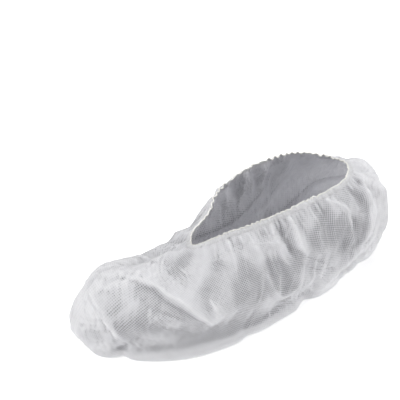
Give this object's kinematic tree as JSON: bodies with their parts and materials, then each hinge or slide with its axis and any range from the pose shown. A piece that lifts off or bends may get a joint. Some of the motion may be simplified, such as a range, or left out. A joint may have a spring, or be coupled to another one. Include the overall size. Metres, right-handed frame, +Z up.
{
  "type": "anti-slip shoe cover",
  "caption": "Foot-shaped disposable cover of thin white non-woven cloth with a gathered elastic mouth, standing open on its flat sole.",
  "frame": {"origin": "middle of the outline, on the surface that the sole rests on", "axes": "+Z up out of the mouth, -Y towards the toe, +X towards the outer side of a left foot"},
  "size_m": [0.1082, 0.2888, 0.0888],
  "materials": {
    "cloth": "matte embossed non-woven",
    "sewn_seam": "matte, overlocked",
    "serged_edge": "matte, serged",
    "elastic": "satin cream"
  },
  "bodies": {
    "root": {"cover_body": "cloth", "sole_seam": "sewn_seam", "opening_hem": "serged_edge", "opening_elastic": "elastic"}
  },
  "joints": []
}
